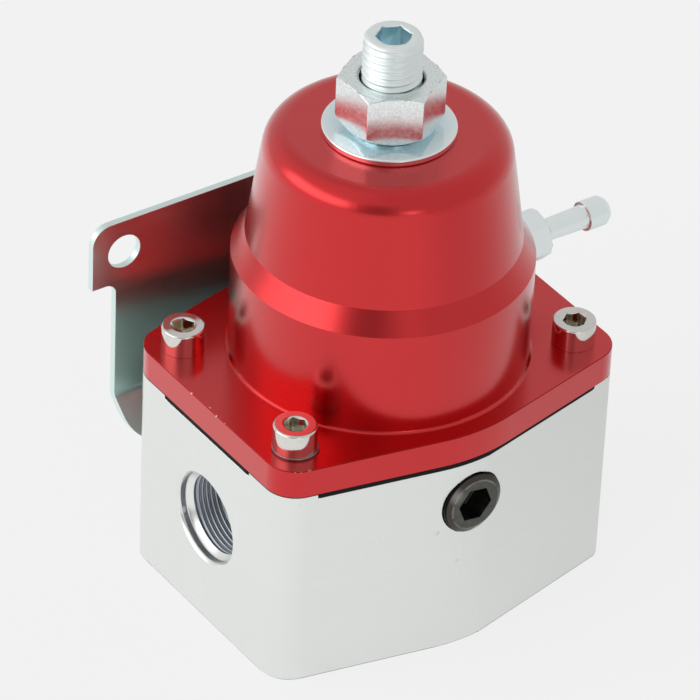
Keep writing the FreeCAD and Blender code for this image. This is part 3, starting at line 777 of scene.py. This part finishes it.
rounded_piece(
    "bracket", bracket_edge, "folded_bracket", bracket_zinc(), "regulator"
)
for side in ("left", "right"):
    screw = "bracket_screw_" + side
    ring = "bracket_lock_washer_" + side
    rounded_piece(screw, screw_edge, "foot_screw_" + side, zinc, "regulator")
    rounded_piece(ring, screw_edge, "split_washer_" + side, zinc, "regulator")

# Floor, light and camera
# A pale floor in a white tent that glows by itself, as in a product photograph. The camera
# stands at the photograph's place, in front, to the left and above.
background = 0.905
floor_size = 6.0
floor_grey = 0.7
camera_shadow = 0.12
mirrored_floor = 0.25
left_glow = 1.0
left_glow_end = -90 * MM
right_glow = 0.72
right_glow_start = 130 * MM
tent_glow = 0.78
gap_shade = 0.42
spot_glow = 3.0
overhead_glow = 0.2
window_glow = 4.8
tent_loss = 0.15
window_loss = 0.65


def pale_floor():
    """White floor: plain background to the camera, with a little of its shadow; to mirrored
    rays mostly a painted glow, brighter on the left than on the right, over a little lit paper.
    """
    material = bpy.data.materials.new("pale floor")
    material.use_nodes = True
    tree = material.node_tree
    tree.nodes.clear()
    start = Flow(tree, None)
    grey = (floor_grey, floor_grey, floor_grey, 1)
    paper = start.node("ShaderNodeBsdfDiffuse", {}, {"Color": grey})
    seen = start.node("ShaderNodeLightPath", {}, {}, output="Is Camera Ray")
    mirrored = start.node("ShaderNodeLightPath", {}, {}, output="Is Glossy Ray")
    through = start.node("ShaderNodeLightPath", {}, {}, output="Is Transmission Ray")
    place = start.node("ShaderNodeTexCoord", {}, {}, output="Object")
    # Painted light: mirrored rays see the floor glow brighter on the left than on the right.
    side_light = place.part(0).between(left_glow_end, right_glow_start, left_glow, right_glow)
    level = background * seen + (1 - seen) * side_light
    glow = start.node("ShaderNodeEmission", {}, {"Color": (1, 1, 1, 1), "Strength": level})
    share = seen * (1 - camera_shadow) + (mirrored + through) * (1 - mirrored_floor)
    mixed = start.node("ShaderNodeMixShader", {}, {0: share, 1: paper, 2: glow})
    out = tree.nodes.new("ShaderNodeOutputMaterial")
    tree.links.new(mixed.socket, out.inputs["Surface"])
    return material


floor_mesh = bpy.data.meshes.new("floor")
half = floor_size / 2
corners = [(-half, -half, 0), (half, -half, 0), (half, half, 0), (-half, half, 0)]
floor_mesh.from_pydata(corners, [], [(0, 1, 2, 3)])
floor_mesh.materials.append(pale_floor())
floor = bpy.data.objects.new("floor", floor_mesh)
bpy.context.scene.collection.objects.link(floor)


def window(direction, azimuth, elevation, width, height, soft):
    """1 inside a soft-edged window of the tent, 0 outside it; all in degrees."""
    turn = direction.maths("ARCTAN2", direction.part(0), 0 - direction.part(1))
    turn = turn * math.degrees(1)
    rise = direction.maths("ARCSINE", direction.part(2)) * math.degrees(1)
    aside = direction.maths("ABSOLUTE", turn - azimuth)
    above = direction.maths("ABSOLUTE", rise - elevation)
    inside = aside.between(width / 2 - soft, width / 2 + soft, 1.0, 0.0)
    return inside * above.between(height / 2 - soft, height / 2 + soft, 1.0, 0.0)


def white_tent():
    """The tent: plain to the camera, and to all else a big window on the left with a glow
    above it, a dark gap where the camera stands and a small soft light beside the gap.
    Light that is mirrored twice is weaker, as in a real tent that stands close by."""
    world = bpy.data.worlds.new("white tent")
    world.use_nodes = True
    tree = world.node_tree
    tree.nodes.clear()
    start = Flow(tree, None)
    direction = start.node("ShaderNodeTexCoord", {}, {}, output="Generated")
    gap = window(direction, azimuth=-45, elevation=16, width=30, height=44, soft=9)
    spot = window(direction, azimuth=-14, elevation=10, width=8, height=10, soft=6)
    left = window(direction, azimuth=-103, elevation=22, width=66, height=26, soft=9)
    overhead = window(direction, azimuth=-120, elevation=45, width=110, height=90, soft=35)
    seen = start.node("ShaderNodeLightPath", {}, {}, output="Is Camera Ray")
    mirrored = start.node("ShaderNodeLightPath", {}, {}, output="Is Glossy Ray")
    bounces = start.node("ShaderNodeLightPath", {}, {}, output="Ray Depth")
    indirect = mirrored * bounces.between(1.2, 1.8)
    tent = tent_glow - gap * gap_shade + spot * spot_glow + overhead * overhead_glow
    tent = tent * (1 - indirect * tent_loss)
    light = tent + left * window_glow * (1 - indirect * window_loss)
    level = light * (1 - seen) + background * seen
    shine = start.node("ShaderNodeBackground", {}, {"Color": (1, 1, 1, 1), "Strength": level})
    out = tree.nodes.new("ShaderNodeOutputWorld")
    tree.links.new(shine.socket, out.inputs["Surface"])
    return world


bpy.context.scene.world = white_tent()

camera_azimuth = math.radians(-36.271)
camera_elevation = math.radians(35.992)
camera_roll = math.radians(2.645)
camera_distance = 1.064
camera_aim = Vector((-5.89, 1.13, 49.85)) * MM
camera_lens = 285.27
camera_sensor = 36

camera_data = bpy.data.cameras.new("camera")
camera_data.lens = camera_lens
camera_data.sensor_width = camera_sensor
camera = bpy.data.objects.new("camera", camera_data)
camera.matrix_world = (
    Matrix.Translation(camera_aim)
    @ Matrix.Rotation(camera_azimuth, 4, "Z")
    @ Matrix.Rotation(math.pi / 2 - camera_elevation, 4, "X")
    @ Matrix.Rotation(camera_roll, 4, "Z")
    @ Matrix.Translation((0, 0, camera_distance))
)
bpy.context.scene.collection.objects.link(camera)
bpy.context.scene.camera = camera
bpy.context.scene.view_settings.view_transform = "Standard"
